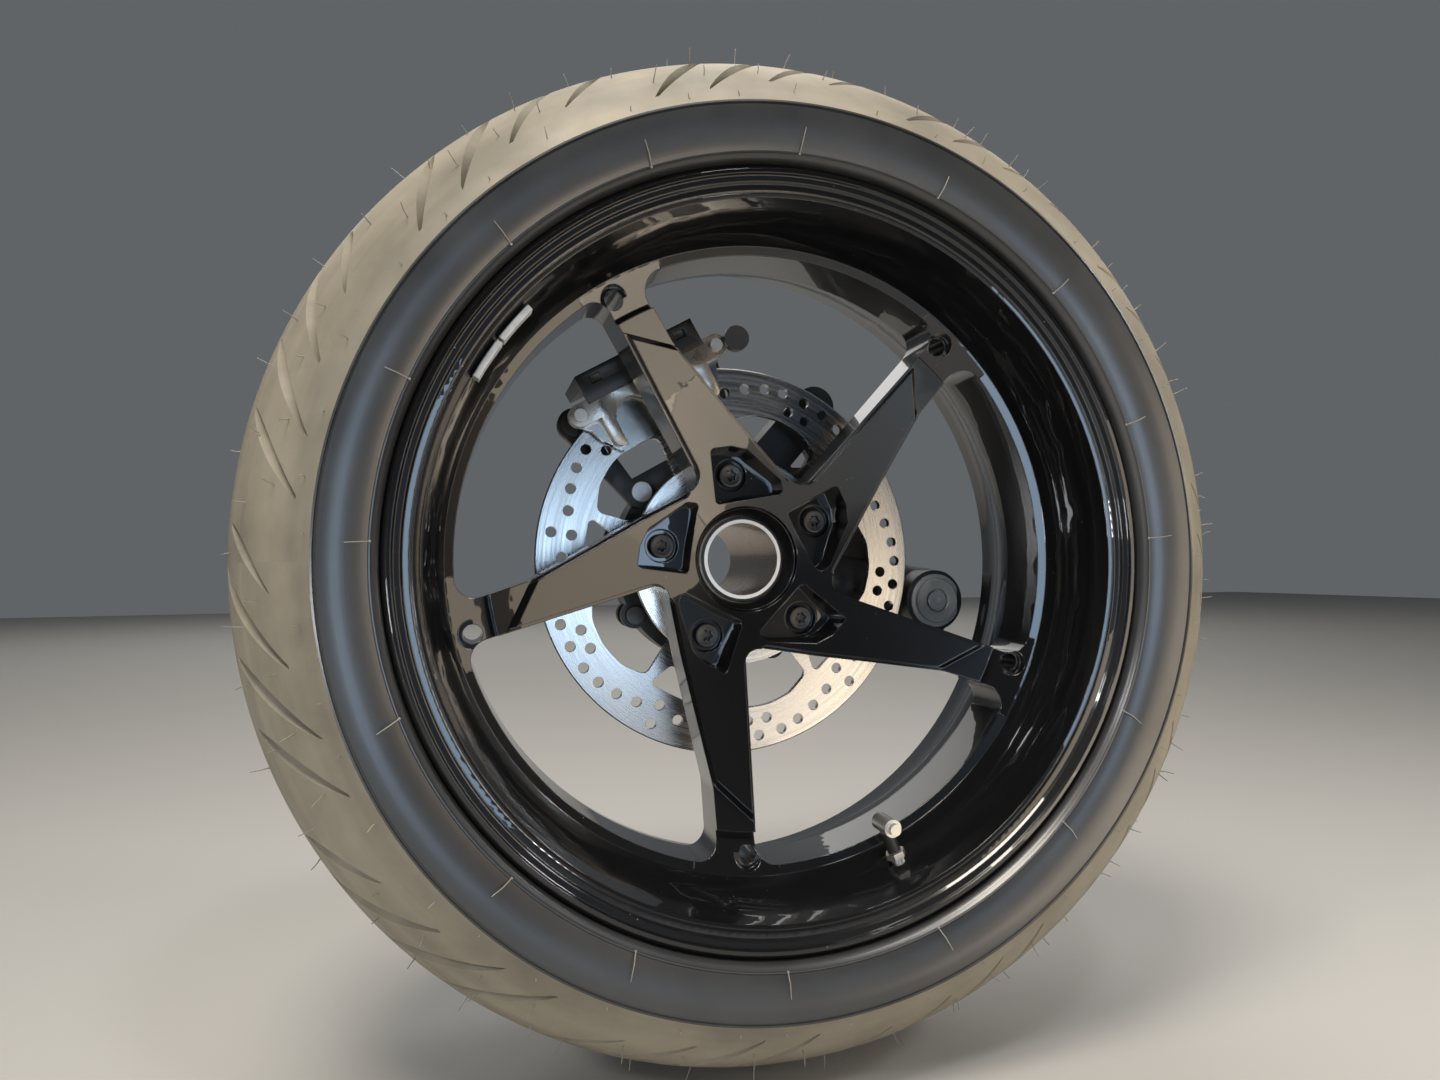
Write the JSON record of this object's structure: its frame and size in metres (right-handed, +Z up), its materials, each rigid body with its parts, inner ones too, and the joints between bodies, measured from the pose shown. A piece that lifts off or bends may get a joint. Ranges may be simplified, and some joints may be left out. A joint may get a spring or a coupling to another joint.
{
  "type": "motorcycle rear wheel with final drive",
  "caption": "Motorcycle rear wheel with cast spokes and a wide tyre, its brake disc and caliper, turning on a shaft-drive housing with pivot and strut lugs.",
  "frame": {"origin": "centre of the mouth of the pivot bore on the drive side, where the swing arm's stud enters", "axes": "+X forward, +Y to the drive side along the axle, +Z up"},
  "size_m": [0.6406, 0.255, 0.6406],
  "materials": {
    "rim": "gloss",
    "tyre": "matte",
    "valve": "satin",
    "weights": "satin",
    "dark_steel": "satin",
    "axle_steel": "satin",
    "disc_steel": "brushed",
    "casting": "satin",
    "bright_steel": "bright",
    "grey_steel": "satin",
    "caliper_metal": "satin",
    "black_plastic": "matte",
    "pad_steel": "satin",
    "black_rubber": "matte"
  },
  "bodies": {
    "drive_unit": {"drive_housing": "casting", "housing_cover": "casting", "housing_bolts": "dark_steel", "filler_plug": "dark_steel", "drain_plug": "dark_steel", "pivot_washer": "bright_steel", "pivot_cap": "grey_steel", "pivot_bolt": "bright_steel", "caliper_bracket": "casting", "bracket_bolts": "bright_steel", "caliper_body": "caliper_metal", "caliper_cover": "black_plastic", "brake_pads": "pad_steel", "slide_pins": "bright_steel", "slide_boots": "black_rubber", "bleed_screw": "bright_steel", "hose_union": "dark_steel"},
    "wheel": {"rim": "rim", "tyre": "tyre", "valve": "valve", "balance_weights": "weights", "wheel_bolts": "dark_steel", "hollow_axle": "axle_steel", "brake_disc": "disc_steel", "disc_bolts": "dark_steel"}
  },
  "joints": [
    {"name": "wheel_spin", "type": "hinge", "parent": "drive_unit", "child": "wheel", "pos_m": [-0.172, -0.16, 0.034], "axis": [0, 1, 0], "continuous": true}
  ]
}
